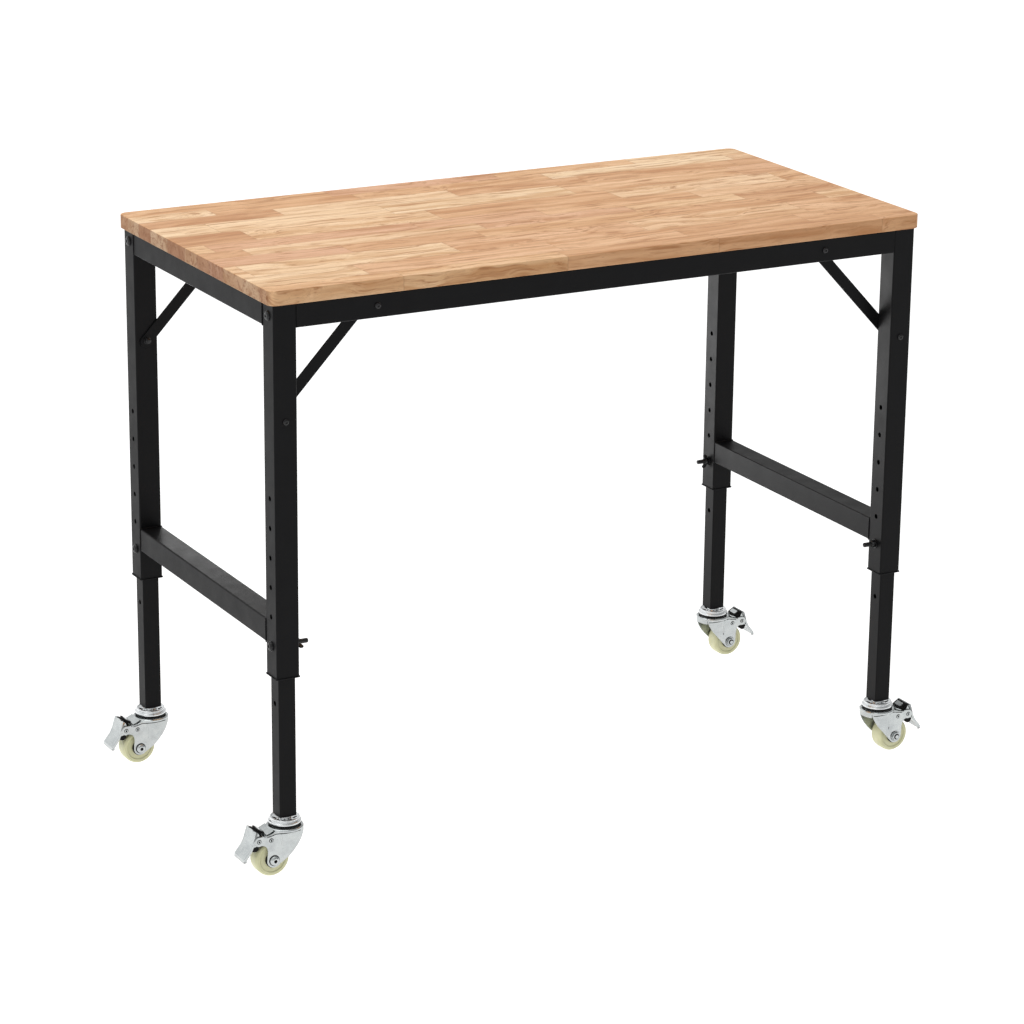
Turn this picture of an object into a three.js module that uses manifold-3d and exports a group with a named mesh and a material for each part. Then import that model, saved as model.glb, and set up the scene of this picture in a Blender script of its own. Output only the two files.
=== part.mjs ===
// Height-adjustable rolling workbench: a solid wood top on a black steel frame of square tube.
// Each outer leg holds a smaller sliding leg, pinned by a lock bolt and wing nut, on a braked caster.
// Millimetres. +X runs along the bench, -Y is the front, +Z is up. The origin is on the floor, mid bench.

import * as THREE from "three";
import { mergeVertices } from "three/addons/utils/BufferGeometryUtils.js";
import Module from "manifold-3d";

const wasm = await Module();
wasm.setup();

// ---- Driving dimensions ----

const HEIGHT = 983; // floor to the top of the wood, with the legs as modelled
const WORKTOP = { length: 1219, depth: 608, thickness: 24, corner: 15 };
const LEG_X = 581.2; // leg centre lines
const LEG_Y = 278.3;
const TUBE = { side: 40, wall: 1.5, round: 2.5 }; // outer legs, aprons and crossbars
const SLIDE = { side: 30, wall: 1.5, round: 2 }; // inner legs
const SLEEVE_BOTTOM = 342; // lower end of an outer leg
const SLIDE_BOTTOM = 102; // lower end of an inner leg
const CROSSBAR_Z = 414.3; // centre height of the lower side bars

const PITCH = 49.5; // spacing of the height holes
const LOCK_Z = 393; // the lowest height hole of an outer leg, where the lock bolt is
const OUTER_HOLES = 6;
const SLIDE_HOLES_BELOW = 2; // holes of an inner leg under the lock bolt
const SLIDE_HOLES_ABOVE = 4; // and over it, hidden inside the outer leg
const SLIDE_END = 27; // inner leg above its last hole

const BRACE = { width: 20, thickness: 3, legZ: 769, apronX: 420, overhang: 3 };
const BRACE_HOLE = 3.4;
const BOLT = { radius: 4, hole: 4.4, head: 7.6, headHeight: 5.3, tip: 24 }; // lock bolt
const WING_NUT = { hub: 6.5, height: 9, washer: 8.5, washerHeight: 1.5, blade: 3.2, span: 13.5 };
const WING_TURN = { front_left: 60, front_right: 62, back_left: 35, back_right: 8 }; // degrees
const APRON_BOLT = { radius: 3.8, hole: 4.2, head: 8, headHeight: 4, nut: 7, nutHeight: 6 };
const END_PLATE = 3; // closes each end of a long apron
const BUSHING = { flange: 43.5, lip: 1.6, sleeve: 36.6, bore: 30.6, depth: 30 };
const GAP = 0.3; // clearance between pieces that don't touch
const THROUGH = 60; // length of a cutting rod that goes right through a piece

// Caster, in a frame with its origin on the floor under the swivel axis and +X the trailing way.
const WHEEL = { radius: 30, halfWidth: 14, hub: 16.4, trail: 28, sides: 24, bore: 5.2 };
const FORK = { top: 83, plate: 3, inside: 17, sheet: 2.5, radius: 31, skirt: 11, kingpinHole: 6 };
const AXLE_LUG = 12.5; // radius of the round lower end of a fork plate
const RACEWAY = { disc: 25, ring: 27.6, top: 97, collar: 12, plug: 38 };
const PIVOT = { x: 54.4, z: 67, pin: 2.9, hole: 3.2, head: 4.4, lug: 8.2 };
const SPACER = { x: 33, z: 66, radius: 3, head: 4.4 };
const AXLE = { radius: 4.8, head: 8.2, headHeight: 5 };
const PEDAL = { halfWidth: 19, sheet: 1.8, lip: 4, flangeIn: 14.2, flangeOut: 16.4 };

const WORKTOP_BOTTOM = HEIGHT - WORKTOP.thickness;
const APRON_Z = WORKTOP_BOTTOM - TUBE.side / 2;
const TUBE_HALF = TUBE.side / 2;

// ---- Materials ----

function finish(color, roughness, metalness) {
  return () => new THREE.MeshStandardMaterial({ color, roughness, metalness });
}
const wood = finish(0xdcb78c, 0.55, 0);
const powderCoat = finish(0x1d1d1f, 0.5, 0.2);
const zinc = finish(0xc4c8ca, 0.3, 1);
const nylon = finish(0xd0d1ae, 0.4, 0);
const blackPlastic = finish(0x101011, 0.6, 0);

// ---- Solids ----

// A closed three.js geometry as a manifold-3d solid, ready to join or cut.
function solid(geometry) {
  const bare = geometry.index ? geometry.toNonIndexed() : geometry.clone();
  bare.deleteAttribute("normal");
  bare.deleteAttribute("uv");
  const merged = mergeVertices(bare, 1e-3);
  const mesh = new wasm.Mesh({
    numProp: 3,
    vertProperties: merged.attributes.position.array,
    triVerts: new Uint32Array(merged.index.array),
  });
  return new wasm.Manifold(mesh);
}

function geometryOf(body) {
  const mesh = body.getMesh();
  const geometry = new THREE.BufferGeometry();
  geometry.setAttribute("position", new THREE.BufferAttribute(mesh.vertProperties, 3));
  geometry.setIndex(new THREE.BufferAttribute(mesh.triVerts, 1));
  geometry.computeVertexNormals();
  return geometry;
}

function join(...bodies) {
  return bodies.reduce((whole, body) => whole.add(body));
}

function cut(body, ...tools) {
  return tools.reduce((rest, tool) => rest.subtract(tool), body);
}

// A round bar, or a bar with few sides, from one place to another along an axis through a point.
function rod(axis, radius, from, to, at = [0, 0, 0], sides = 10) {
  const bar = new THREE.CylinderGeometry(radius, radius, to - from, sides);
  bar.translate(0, (from + to) / 2, 0);
  if (axis === "x") bar.rotateZ(-Math.PI / 2);
  if (axis === "z") bar.rotateX(Math.PI / 2);
  return solid(bar.translate(...at));
}

// A rod to cut a hole with, right through a piece on both sides of a point.
function drill(axis, radius, at, sides = 10) {
  return rod(axis, radius, -THROUGH / 2, THROUGH / 2, at, sides);
}

function block(width, depth, bottom, top) {
  const box = new THREE.BoxGeometry(width, depth, top - bottom);
  return solid(box.translate(0, 0, (bottom + top) / 2));
}

// An outline drawn in X and Z, given thickness along Y.
function slab(outline, from, to) {
  const sheet = new THREE.ExtrudeGeometry(outline, {
    depth: to - from,
    bevelEnabled: false,
    curveSegments: 4,
  });
  return solid(sheet.rotateX(Math.PI / 2).translate(0, to, 0));
}

function polygon(points) {
  return new THREE.Shape(points.map(([x, y]) => new THREE.Vector2(x, y)));
}

function roundedRectangle(width, height, radius) {
  const path = new THREE.Shape();
  const x = width / 2;
  const y = height / 2;
  path.moveTo(-x + radius, -y);
  path.lineTo(x - radius, -y);
  path.absarc(x - radius, -y + radius, radius, -Math.PI / 2, 0);
  path.lineTo(x, y - radius);
  path.absarc(x - radius, y - radius, radius, 0, Math.PI / 2);
  path.lineTo(-x + radius, y);
  path.absarc(-x + radius, y - radius, radius, Math.PI / 2, Math.PI);
  path.lineTo(-x, -y + radius);
  path.absarc(-x + radius, -y + radius, radius, Math.PI, Math.PI * 1.5);
  return path;
}

// A square tube standing on z = 0.
function squareTube({ side, wall, round }, length) {
  const outline = roundedRectangle(side, side, round);
  const bore = side / 2 - wall;
  const corners = [[-bore, -bore], [-bore, bore], [bore, bore], [bore, -bore]];
  outline.holes.push(new THREE.Path(corners.map(([x, y]) => new THREE.Vector2(x, y))));
  const options = { depth: length, bevelEnabled: false, curveSegments: 2 };
  return new THREE.ExtrudeGeometry(outline, options);
}

// ---- Top and frame ----

function worktop() {
  const outline = roundedRectangle(WORKTOP.length, WORKTOP.depth, WORKTOP.corner);
  const options = { depth: WORKTOP.thickness, bevelEnabled: false, curveSegments: 8 };
  return new THREE.ExtrudeGeometry(outline, options).translate(0, 0, WORKTOP_BOTTOM);
}

function outerLeg() {
  const tube = squareTube(TUBE, WORKTOP_BOTTOM - SLEEVE_BOTTOM).translate(0, 0, SLEEVE_BOTTOM);
  const holes = [];
  for (let n = 0; n < OUTER_HOLES; n++) {
    holes.push(drill("x", BOLT.hole, [0, 0, LOCK_Z + n * PITCH]));
  }
  holes.push(drill("x", APRON_BOLT.hole, [0, 0, APRON_Z]));
  holes.push(drill("y", BRACE_HOLE, [0, 0, BRACE.legZ]));
  return geometryOf(cut(solid(tube), ...holes));
}

// Top rail and lower bar of an end frame, welded between its two legs.
function sideBar(z) {
  const length = 2 * LEG_Y - TUBE.side;
  return squareTube(TUBE, length).rotateX(-Math.PI / 2).translate(0, -length / 2, z);
}

function longApron() {
  const length = 2 * LEG_X - TUBE.side;
  const tube = squareTube(TUBE, length).rotateY(Math.PI / 2).translate(-length / 2, 0, 0);
  const bore = TUBE.side - 2 * TUBE.wall;
  const plates = [];
  for (const end of [-1, 1]) {
    const plate = new THREE.BoxGeometry(END_PLATE, bore, bore);
    plates.push(solid(plate.translate((end * (length - END_PLATE)) / 2, 0, 0)));
  }
  const holes = [rod("x", APRON_BOLT.hole, -length, length)];
  for (const side of [-1, 1]) {
    holes.push(drill("y", BRACE_HOLE, [side * BRACE.apronX, 0, 0]));
  }
  return geometryOf(cut(join(solid(tube), ...plates), ...holes)).translate(0, 0, APRON_Z);
}

// A flat bar with round ends, from a long apron down to the leg on the right, with a bolt hole at each end.
function brace() {
  const rise = APRON_Z - BRACE.legZ;
  const run = LEG_X - BRACE.apronX;
  const span = Math.hypot(rise, run);
  const half = BRACE.width / 2;
  const outline = new THREE.Shape();
  outline.moveTo(-BRACE.overhang, -half);
  outline.lineTo(span + BRACE.overhang, -half);
  outline.absarc(span + BRACE.overhang, 0, half, -Math.PI / 2, Math.PI / 2);
  outline.lineTo(-BRACE.overhang, half);
  outline.absarc(-BRACE.overhang, 0, half, Math.PI / 2, Math.PI * 1.5);
  for (const x of [0, span]) {
    const hole = new THREE.Path().absarc(x, 0, BRACE_HOLE, 0, Math.PI * 2, true);
    outline.holes.push(hole);
  }
  const options = { depth: BRACE.thickness, bevelEnabled: false, curveSegments: 4 };
  const bar = new THREE.ExtrudeGeometry(outline, options).rotateX(Math.PI / 2);
  bar.rotateY(Math.atan2(rise, run)).translate(BRACE.apronX, 0, APRON_Z);
  return bar;
}

function apronBolt() {
  const face = TUBE_HALF;
  const end = -face - END_PLATE - GAP - APRON_BOLT.nutHeight;
  return geometryOf(
    join(
      rod("x", APRON_BOLT.radius, end, face + 1, [0, 0, APRON_Z]),
      rod("x", APRON_BOLT.head, face, face + APRON_BOLT.headHeight, [0, 0, APRON_Z]),
      rod("x", APRON_BOLT.nut, end, end + APRON_BOLT.nutHeight, [0, 0, APRON_Z], 6),
    ),
  );
}

// ---- Telescoping legs ----

function bushing() {
  const top = SLEEVE_BOTTOM + BUSHING.depth;
  const flange = block(BUSHING.flange, BUSHING.flange, SLEEVE_BOTTOM - BUSHING.lip, SLEEVE_BOTTOM);
  const sleeve = block(BUSHING.sleeve, BUSHING.sleeve, SLEEVE_BOTTOM - 1, top);
  const bore = block(BUSHING.bore, BUSHING.bore, SLEEVE_BOTTOM - TUBE.side, top + 1);
  return geometryOf(cut(join(flange, sleeve), bore));
}

function innerLeg() {
  const top = LOCK_Z + SLIDE_HOLES_ABOVE * PITCH + SLIDE_END;
  const tube = squareTube(SLIDE, top - SLIDE_BOTTOM).translate(0, 0, SLIDE_BOTTOM);
  const holes = [];
  for (let n = -SLIDE_HOLES_BELOW; n <= SLIDE_HOLES_ABOVE; n++) {
    holes.push(drill("x", BOLT.hole, [0, 0, LOCK_Z + n * PITCH], 8));
  }
  return geometryOf(cut(solid(tube), ...holes));
}

// The head is on the outboard face (+X) and the threaded tip stands out of the inboard face.
function lockBolt() {
  const at = [0, 0, LOCK_Z];
  return geometryOf(
    join(
      rod("x", BOLT.radius, -TUBE_HALF - BOLT.tip, TUBE_HALF + 1, at),
      rod("x", BOLT.head, TUBE_HALF, TUBE_HALF + BOLT.headHeight, at, 6),
    ),
  );
}

// The washer against the leg and the two flared wings are one piece, turned about the bolt.
function wingNut(turn) {
  const { hub, height, washer, washerHeight, blade, span } = WING_NUT;
  const face = -TUBE_HALF;
  const parts = [
    rod("x", hub, face - height, face),
    rod("x", washer, face - washerHeight, face, [0, 0, 0], 16),
  ];
  for (const side of [-1, 1]) {
    const wing = [
      [face - 1.2, side * 3], [face - 3, side * 8], [face - 6, side * span],
      [face - 11.5, side * span], [face - 12.5, side * 10.5], [face - 8.5, side * 3],
    ];
    parts.push(slab(polygon(wing), -blade / 2, blade / 2));
  }
  const nut = geometryOf(cut(join(...parts), drill("x", BOLT.radius + GAP, [face, 0, 0])));
  return nut.rotateX(THREE.MathUtils.degToRad(turn)).translate(0, 0, LOCK_Z);
}

// ---- Casters ----

// Plug for the inner leg, swivel discs and kingpin, in one riveted head.
function casterHead() {
  const { disc, ring, top, collar, plug } = RACEWAY;
  const seat = SLIDE_BOTTOM - 1.6;
  const underFork = FORK.top - FORK.plate - GAP;
  const kingpin = FORK.kingpinHole - GAP;
  const outline = [
    [0, underFork - 4.5], [8, underFork - 4.5], [8, underFork], [kingpin, underFork],
    [kingpin, FORK.top + GAP], [24, FORK.top + GAP], [24, FORK.top + 3.3], [ring, FORK.top + 5],
    [ring, FORK.top + 8], [disc - 1, top - 4.2], [disc, top - 3], [disc - 1, top], [disc - 3, top],
    [disc - 5, top - 1.8], [collar, top - 1.8], [collar, seat], [0, seat],
  ];
  const lathe = new THREE.LatheGeometry(outline.map(([r, z]) => new THREE.Vector2(r, z)), 20);
  const bore = SLIDE.side - 2 * SLIDE.wall;
  return geometryOf(
    join(
      solid(lathe.rotateX(Math.PI / 2)),
      block(SLIDE.side, SLIDE.side, seat - 0.5, SLIDE_BOTTOM),
      block(bore - 2 * GAP, bore - 2 * GAP, SLIDE_BOTTOM - 1, SLIDE_BOTTOM + plug),
    ),
  );
}

// Side plate of a fork. The two plates differ in the front edge and in the width at the axle.
function forkPlate(front, back) {
  const { trail: axleX, radius: axleZ } = WHEEL;
  const plate = new THREE.Shape();
  plate.moveTo(...front[0]);
  front.slice(1).forEach(([x, z]) => plate.lineTo(x, z));
  plate.absarc(axleX, axleZ, AXLE_LUG, Math.PI * 1.23, Math.PI * 2);
  back.forEach(([x, z]) => plate.lineTo(x, z));
  plate.absarc(PIVOT.x, PIVOT.z, PIVOT.lug, Math.PI * 1.36, Math.PI * 2.45);
  plate.lineTo(40, 75);
  plate.lineTo(30, 77.5);
  plate.lineTo(19, FORK.top);
  return plate;
}

function casterFork() {
  const { top, plate, inside, sheet, radius, skirt } = FORK;
  const outside = inside + sheet;
  const bulged = [[-25, top], [-24.5, 71], [-20.5, 60], [-14.5, 50], [-7, 41], [2, 32]];
  const straight = [[-25, top], [-18, 67], [-9, 53], [2.5, 40]];
  const narrow = [[39, 47], [40.5, 54], [44.5, 58]];
  const wide = [[41.5, 46], [43, 54], [47, 58.5]];
  const band = new THREE.Shape();
  band.absarc(0, 0, radius, Math.PI * 0.78, Math.PI * 1.22);
  band.absarc(0, 0, radius - sheet, Math.PI * 1.22, Math.PI * 0.78, true);
  const bandOptions = { depth: skirt, bevelEnabled: false, curveSegments: 4 };
  const nose = new THREE.ExtrudeGeometry(band, bandOptions).translate(0, 0, top - skirt);
  const body = join(
    rod("z", radius, top - plate, top, [0, 0, 0], 24),
    slab(forkPlate(bulged, narrow), inside, outside),
    slab(forkPlate(straight, wide), -outside, -inside),
    solid(nose),
    rod("y", SPACER.radius, -inside - 1, inside + 1, [SPACER.x, 0, SPACER.z]),
    rod("y", SPACER.head, outside - 1, outside + 1, [SPACER.x, 0, SPACER.z]),
    rod("y", SPACER.head, -outside - 1, 1 - outside, [SPACER.x, 0, SPACER.z]),
  );
  return geometryOf(
    cut(
      body,
      drill("z", FORK.kingpinHole, [0, 0, top], 16),
      drill("y", WHEEL.bore, [WHEEL.trail, 0, WHEEL.radius]),
      drill("y", PIVOT.hole, [PIVOT.x, 0, PIVOT.z]),
    ),
  );
}

// The wheel's flat facets lie at its radius, so that one of them rests on the floor.
function casterWheel() {
  const { radius, halfWidth, hub, bore, sides } = WHEEL;
  const rim = radius / Math.cos(Math.PI / sides);
  const half = [
    [bore, hub], [11, hub], [11, 9.5], [21.5, 9.5], [23.5, halfWidth],
    [26.5, halfWidth], [rim, halfWidth - 4],
  ];
  const section = [...half.map(([r, y]) => [r, -y]), ...half.toReversed(), [bore, -hub]];
  const outline = section.map(([r, y]) => new THREE.Vector2(r, y));
  const lathe = new THREE.LatheGeometry(outline, sides, Math.PI / sides);
  return lathe.translate(WHEEL.trail, 0, radius);
}

function casterAxle() {
  const end = FORK.inside + FORK.sheet + GAP;
  const at = [WHEEL.trail, 0, WHEEL.radius];
  return geometryOf(
    join(
      rod("y", AXLE.radius, -end - AXLE.headHeight - 2, end + 1, at),
      rod("y", AXLE.head, end, end + AXLE.headHeight, at),
      rod("y", AXLE.head, -end - AXLE.headHeight, -end, at, 6),
    ),
  );
}

// Pressed pedal: a bent face plate with folded edges, two flanges and the pivot pin that it turns on.
function brakePedal() {
  const { halfWidth, sheet, lip, flangeIn, flangeOut } = PEDAL;
  const face = [[57, 85], [66, 62], [70, 55], [82, 36]];
  const outer = face.map(([x, z]) => [x + sheet * 0.9, z + sheet * 0.45]).reverse();
  const edge = [[67.5, 60], [70, 55], [82, 36], [82 - lip, 36 + lip * 0.4], [70 - lip, 53]];
  const flange = [[57, 85], [66, 62], [69, 57], [60, 58], [51.5, 60.5], [49.5, 66], [51, 73], [54, 80]];
  const head = FORK.inside + FORK.sheet + GAP;
  const at = [PIVOT.x, 0, PIVOT.z];
  const parts = [slab(polygon([...face, ...outer]), -halfWidth, halfWidth)];
  for (const side of [-1, 1]) {
    const span = (a, b) => (side > 0 ? [a, b] : [-b, -a]);
    parts.push(slab(polygon(flange), ...span(flangeIn, flangeOut)));
    parts.push(slab(polygon(edge), ...span(halfWidth - sheet, halfWidth)));
    parts.push(rod("y", PIVOT.head, ...span(head, head + 1.2), at));
  }
  return geometryOf(join(...parts, rod("y", PIVOT.pin, -head - 1, head + 1, at)));
}

// Moulded brake piece inside the pedal: the release tab on top and the pad over the wheel.
function brakeShoe() {
  const outline = polygon([
    [44.5, 88.2], [52.5, 83.8], [53, 80], [50, 72], [49, 64], [52, 58], [53, 51.4],
    [57, 48], [61, 52], [65.3, 62], [56.5, 84.5], [56.1, 86.6], [45.8, 91.2],
  ]);
  const half = PEDAL.flangeIn - GAP;
  const bore = drill("y", PIVOT.hole, [PIVOT.x, 0, PIVOT.z]);
  return geometryOf(cut(slab(outline, -half, half), bore));
}

// ---- Assembly ----

const bench = new THREE.Group();

function add(parent, name, geometry, material, x = 0, y = 0, z = 0) {
  const mesh = new THREE.Mesh(geometry, material());
  mesh.name = name;
  mesh.position.set(x, y, z);
  parent.add(mesh);
  return mesh;
}

add(bench, "worktop", worktop(), wood);

for (const [side, x] of [["left", -LEG_X], ["right", LEG_X]]) {
  add(bench, `side_apron_${side}`, sideBar(APRON_Z), powderCoat, x);
  add(bench, `crossbar_${side}`, sideBar(CROSSBAR_Z), powderCoat, x);
}

for (const [row, rowY] of [["front", -LEG_Y], ["back", LEG_Y]]) {
  add(bench, `long_apron_${row}`, longApron(), powderCoat, 0, rowY);

  for (const [side, sideX] of [["left", -1], ["right", 1]]) {
    const corner = `${row}_${side}`;

    // In this group +X points outboard, so the left-hand legs are turned half a turn.
    const leg = new THREE.Group();
    leg.position.set(sideX * LEG_X, rowY, 0);
    leg.rotation.z = sideX < 0 ? Math.PI : 0;
    bench.add(leg);

    add(leg, `outer_leg_${corner}`, outerLeg(), powderCoat);
    add(leg, `leg_bushing_${corner}`, bushing(), blackPlastic);
    add(leg, `inner_leg_${corner}`, innerLeg(), powderCoat);
    add(leg, `apron_bolt_${corner}`, apronBolt(), powderCoat);
    add(leg, `lock_bolt_${corner}`, lockBolt(), powderCoat);
    add(leg, `wing_nut_${corner}`, wingNut(WING_TURN[corner]), powderCoat);
    add(leg, `caster_head_${corner}`, casterHead(), zinc);
    add(leg, `caster_fork_${corner}`, casterFork(), zinc);
    add(leg, `caster_wheel_${corner}`, casterWheel(), nylon);
    add(leg, `caster_axle_${corner}`, casterAxle(), zinc);
    add(leg, `brake_pedal_${corner}`, brakePedal(), zinc);
    add(leg, `brake_shoe_${corner}`, brakeShoe(), blackPlastic);

    // The braces lie on the inner faces of the legs and aprons.
    const inboard = rowY < 0 ? 1 : -1;
    const turned = sideX < 0;
    const bar = add(bench, `brace_${corner}`, brace(), powderCoat);
    const nearFace = rowY + inboard * TUBE_HALF;
    const farFace = nearFace + inboard * BRACE.thickness;
    bar.rotation.z = turned ? Math.PI : 0;
    bar.position.y = turned ? Math.min(nearFace, farFace) : Math.max(nearFace, farFace);
  }
}

export default bench;
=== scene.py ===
"""Height-adjustable rolling workbench: finishes, fine hardware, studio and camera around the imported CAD.

Shapes are drawn in millimetres. Leg hardware is drawn in a corner's own frame: its origin is on the
floor under the leg, and +X points outboard, the way the caster trails.
"""

import math

import bmesh
import bpy
from mathutils import Matrix, Vector


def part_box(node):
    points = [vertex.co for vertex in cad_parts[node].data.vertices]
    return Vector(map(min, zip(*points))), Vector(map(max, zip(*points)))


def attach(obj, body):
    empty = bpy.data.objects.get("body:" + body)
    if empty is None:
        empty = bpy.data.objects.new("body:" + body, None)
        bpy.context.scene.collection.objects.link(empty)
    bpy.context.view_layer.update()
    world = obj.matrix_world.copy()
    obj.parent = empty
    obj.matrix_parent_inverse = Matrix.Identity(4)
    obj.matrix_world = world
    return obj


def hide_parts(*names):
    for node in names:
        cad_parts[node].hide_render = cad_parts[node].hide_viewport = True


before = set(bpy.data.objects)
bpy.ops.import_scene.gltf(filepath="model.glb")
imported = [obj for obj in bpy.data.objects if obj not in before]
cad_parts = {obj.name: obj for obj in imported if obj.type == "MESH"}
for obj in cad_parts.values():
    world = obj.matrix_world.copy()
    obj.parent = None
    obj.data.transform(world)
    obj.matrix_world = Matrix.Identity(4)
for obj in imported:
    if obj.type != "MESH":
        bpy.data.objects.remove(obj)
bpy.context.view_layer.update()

MM = 0.001
CORNERS = ("front_left", "front_right", "back_left", "back_right")

# ---- Sizes shared with the CAD source, millimetres ----

TOP_CORNER = 15
TOP_EASE = 1.8
TUBE_WALL = 1.5
TUBE_ROUND = 2.5
SLIDE = 30
SLIDE_ROUND = 2
PITCH = 49.5
OUTER_HOLES = 6
SLIDE_HOLES = range(-2, 5)
HOLE = 4.4
BOLT_RADIUS = 4
BRACE = {"width": 20, "thickness": 3, "leg_z": 769, "apron_x": 420, "overhang": 3, "hole": 3.4}
BUSHING = {"flange": 43.5, "lip": 1.6, "sleeve": 36.6, "bore": 30.6, "depth": 30}
WING_TURN = {"front_left": 60, "front_right": 62, "back_left": 35, "back_right": 8}
END_PLATE = 3

FORK_TOP = 83
FORK_INSIDE = 17
FORK_OUTSIDE = 19.5
FORK_RADIUS = 31
SKIRT = 11
AXLE = (28, 30)
AXLE_LUG = 12.5
PIVOT = (54.4, 67)
PIVOT_LUG = 8.2
SPACER = (33, 66)
SLIDE_BOTTOM = 102
HEAD_TOP = 97

# ---- Sizes of details that only the visual model has, millimetres ----

BEAD = {"gap": 0.6, "radius": 1.25, "ripple": 0.18, "ripples": 40}
BRACE_BOLT = {"head": 5.4, "height": 3.0, "socket": 1.9, "nut": 5.6, "nut_height": 4.4, "shank": 2.9}
APRON_BOLT = {
    "drill": 4.2, "head": 8, "height": 4, "socket": 2.6, "washer": 8.6, "nut": 7, "nut_height": 6, "end": 3.6,
    "shank": 3.8,
}
LOCK_BOLT = {"head": 7.6, "height": 5.3, "socket": 3.0, "washer": 8.4, "tail": 24}
AXLE_BOLT = {"head": 8.2, "height": 5, "socket": 3.0, "nut": 7.6, "nut_height": 3.6, "end": 3.6, "shank": 4.8}
HEAD_SLOTS = 8
SPRING = {"radius": 4.6, "wire": 0.7, "turns": 7, "width": 14}
TOP_SCREW_Y = (-150, 0, 150)
TOP_SCREW_X = (-300, -100, 100, 300)
LEVER = (47.4, 0, 81.4)
LEVER_SLOPE = 31

# ---- Light: the sky at its brightest, at its dimmest and as the camera sees it, and the floor's glow ----

BRIGHT_SIDE = (-0.75, 0.6, 0.2)
BRIGHT_SKY = 1.15
DIM_SKY = 0.3
SEEN_SKY = 1.05
FLOOR_GLOW = 0.48

# The floor lies below the reach of a leg let down to the end of its slide, metres.

FLOOR_DROP = 0.2


# ---- Outlines ----

def rounded(points, radius, steps=4):
    """A closed outline with rounded corners. A point's own radius may follow its two coordinates."""
    made = []
    count = len(points)
    for i, point in enumerate(points):
        here = Vector(point[:2])
        wanted = point[2] if len(point) > 2 else radius
        back = Vector(points[i - 1][:2]) - here
        ahead = Vector(points[(i + 1) % count][:2]) - here
        half = back.angle(ahead) / 2
        if wanted <= 0 or half > math.radians(89.5):
            made.append(here)
            continue
        reach = min(wanted / math.tan(half), 0.49 * back.length, 0.49 * ahead.length)
        radius_here = reach * math.tan(half)
        centre = here + (back.normalized() + ahead.normalized()).normalized() * radius_here / math.sin(half)
        start = here + back.normalized() * reach - centre
        end = here + ahead.normalized() * reach - centre
        turn = start.angle_signed(end)
        for step in range(steps + 1):
            angle = -turn * step / steps
            made.append(centre + Matrix.Rotation(angle, 2) @ start)
    return made


def rectangle(width, height, radius, steps=4):
    """A rectangle about the origin with rounded corners."""
    x, y = width / 2, height / 2
    return rounded([(-x, -y), (x, -y), (x, y), (-x, y)], radius, steps)


def arc(centre, radius, start, end, steps=12):
    """Points on an arc; angles in half turns."""
    angles = [math.pi * (start + (end - start) * n / steps) for n in range(steps + 1)]
    return [(centre[0] + radius * math.cos(a), centre[1] + radius * math.sin(a), 0) for a in angles]


def regular(sides, radius):
    """The corners of a regular polygon about the origin."""
    angles = [math.tau * n / sides for n in range(sides)]
    return [(radius * math.cos(a), radius * math.sin(a)) for a in angles]


# ---- Solids, each a bmesh ----

PLACED = {
    "x": lambda u, v, w: Vector((w, u, v)),
    "y": lambda u, v, w: Vector((u, w, v)),
    "z": lambda u, v, w: Vector((u, v, w)),
}


def loft(rings, cap=True, closed=False):
    """Joins rings of points, each to the next. closed joins the last to the first."""
    bm = bmesh.new()
    made = [[bm.verts.new(point) for point in ring] for ring in rings]
    pairs = list(zip(made, made[1:]))
    if closed:
        pairs.append((made[-1], made[0]))
    for low, high in pairs:
        for i in range(len(low)):
            j = (i + 1) % len(low)
            bm.faces.new((low[i], low[j], high[j], high[i]))
    if cap and not closed:
        bm.faces.new(made[0][::-1])
        bm.faces.new(made[-1])
    return clean(bm)


def clean(bm):
    """Merges double points and turns every face outward."""
    bmesh.ops.remove_doubles(bm, verts=bm.verts, dist=1e-4)
    bmesh.ops.recalc_face_normals(bm, faces=bm.faces)
    return bm


def soften(bm, width, segments=2, angle=35):
    """Bevels every edge sharper than the angle."""
    sharp = [e for e in bm.edges if e.is_manifold and e.calc_face_angle(0) > math.radians(angle)]
    bmesh.ops.bevel(
        bm, geom=sharp, offset=width, segments=segments, profile=0.5, affect="EDGES", clamp_overlap=True
    )
    return clean(bm)


def prism(outline, low, high, axis="z", at=(0, 0, 0)):
    """An outline drawn out along an axis, from low to high."""
    shift = Vector(at)
    return loft([[PLACED[axis](p[0], p[1], w) + shift for p in outline] for w in (low, high)])


def lathe(profile, steps=48, axis="z", at=(0, 0, 0)):
    """Turns a profile of (radius, height) points. It starts and ends on the axis, or closes on itself."""
    shift = Vector(at)
    angles = [math.tau * n / steps for n in range(steps)]
    rings = []
    for point in profile:
        radius, height = point[0], point[1]
        ring = [PLACED[axis](radius * math.cos(a), radius * math.sin(a), height) + shift for a in angles]
        rings.append(ring)
    open_ended = profile[0][0] == 0 and profile[-1][0] == 0
    return loft(rings, cap=False, closed=not open_ended)


def rod(radius, low, high, axis="z", at=(0, 0, 0), steps=32):
    """A plain round bar. It is also the tool that drills a hole."""
    return lathe([(0, low), (radius, low), (radius, high), (0, high)], steps, axis, at)


def wire(points, radius, sides=10):
    """A round wire along a path."""
    path = [Vector(p) for p in points]
    side = Vector((0.13, 0.29, 0.95))
    rings = []
    for i, point in enumerate(path):
        ahead = (path[min(i + 1, len(path) - 1)] - path[max(i - 1, 0)]).normalized()
        side = (side - ahead * side.dot(ahead)).normalized()
        other = ahead.cross(side)
        angles = [math.tau * n / sides for n in range(sides)]
        rings.append([point + radius * (math.cos(a) * side + math.sin(a) * other) for a in angles])
    return loft(rings)


def together(*parts):
    """Several closed shells in one bmesh."""
    whole = bmesh.new()
    for part in parts:
        mesh = bpy.data.meshes.new("part")
        part.to_mesh(mesh)
        whole.from_mesh(mesh)
        part.free()
        bpy.data.meshes.remove(mesh)
    return whole


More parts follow.
